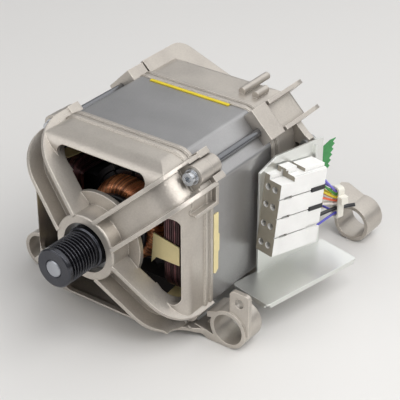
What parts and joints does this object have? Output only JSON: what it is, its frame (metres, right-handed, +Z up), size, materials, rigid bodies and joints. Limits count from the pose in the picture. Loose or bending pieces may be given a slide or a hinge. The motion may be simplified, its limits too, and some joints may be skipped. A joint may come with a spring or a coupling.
{
  "type": "washing machine motor",
  "caption": "Brushed universal motor with a ribbed belt pulley, cast end shields, mounting eyes and a side terminal connector.",
  "frame": {"origin": "on the shaft axis in the middle of the belt ribs", "axes": "+X right seen from the pulley, +Y back along the shaft, +Z up"},
  "size_m": [0.1898, 0.2337, 0.1259],
  "materials": {
    "cast_aluminium": "die-cast, matt",
    "lamination_steel": "stacked sheet, oiled",
    "copper": "enamelled copper",
    "insulation": "pressboard",
    "yellow_insulation": "film edge",
    "steel": "ground",
    "dark_steel": "phosphated",
    "bearing_steel": "polished",
    "zinc_sheet": "zinc-plated",
    "brass": "plain",
    "black_plastic": "moulded",
    "brown_plastic": "moulded",
    "white_plastic": "moulded",
    "carbon": "pressed carbon",
    "magnet": "sintered",
    "violet_wire": "insulation",
    "green_wire": "insulation",
    "yellow_wire": "insulation",
    "red_wire": "insulation",
    "white_wire": "insulation",
    "blue_wire": "insulation",
    "green_tape": "adhesive film"
  },
  "bodies": {
    "housing": {"front_shield": "cast_aluminium", "rear_shield": "cast_aluminium", "stator_core": "lamination_steel", "coil_bundles": "copper", "field_winding_right": "copper", "field_winding_left": "copper", "pole_insulation": "insulation", "side_insulation_strip": "insulation", "top_insulation_strip": "yellow_insulation", "through_bolts": "dark_steel", "front_bearing_outer_ring": "bearing_steel", "rear_bearing_outer_ring": "bearing_steel", "retaining_ring": "steel", "brush_holders": "black_plastic", "upper_brush_spring": "steel", "lower_brush_spring": "steel", "tacho_coil": "copper", "tacho_cap": "black_plastic", "terminal_bracket": "zinc_sheet", "bracket_rivets": "steel", "connector_housing": "white_plastic", "connector_terminals": "brass", "connector_keys": "black_plastic", "wire_violet": "violet_wire", "wire_green": "green_wire", "wire_yellow": "yellow_wire", "wire_red": "red_wire", "wire_white": "white_wire", "wire_blue": "blue_wire", "black_sleeve": "black_plastic", "cable_tie": "white_plastic", "harness_tape": "green_tape"},
    "rotor": {"shaft": "steel", "belt_pulley": "dark_steel", "rotor_core": "lamination_steel", "rotor_winding_front": "copper", "rotor_winding_rear": "copper", "rotor_end_ring": "black_plastic", "commutator_bars": "copper", "commutator_core": "brown_plastic", "front_bearing_inner_ring": "bearing_steel", "front_bearing_balls": "bearing_steel", "rear_bearing_inner_ring": "bearing_steel", "rear_bearing_balls": "bearing_steel", "tacho_magnet": "magnet"},
    "upper_brush": {"upper_brush": "carbon"},
    "lower_brush": {"lower_brush": "carbon"}
  },
  "joints": [
    {"name": "rotor_spin", "type": "hinge", "parent": "housing", "child": "rotor", "pos_m": [0, 0, 0], "axis": [0, 1, 0], "continuous": true},
    {"name": "upper_brush_slide", "type": "slide", "parent": "housing", "child": "upper_brush", "axis": [0, 0, 1], "range_m": [0, 0.008], "stiffness_N_per_m": 150, "springref_m": -0.02, "deforming": ["upper_brush_spring"]},
    {"name": "lower_brush_slide", "type": "slide", "parent": "housing", "child": "lower_brush", "axis": [0, 0, -1], "range_m": [0, 0.008], "stiffness_N_per_m": 150, "springref_m": -0.02, "deforming": ["lower_brush_spring"]}
  ]
}
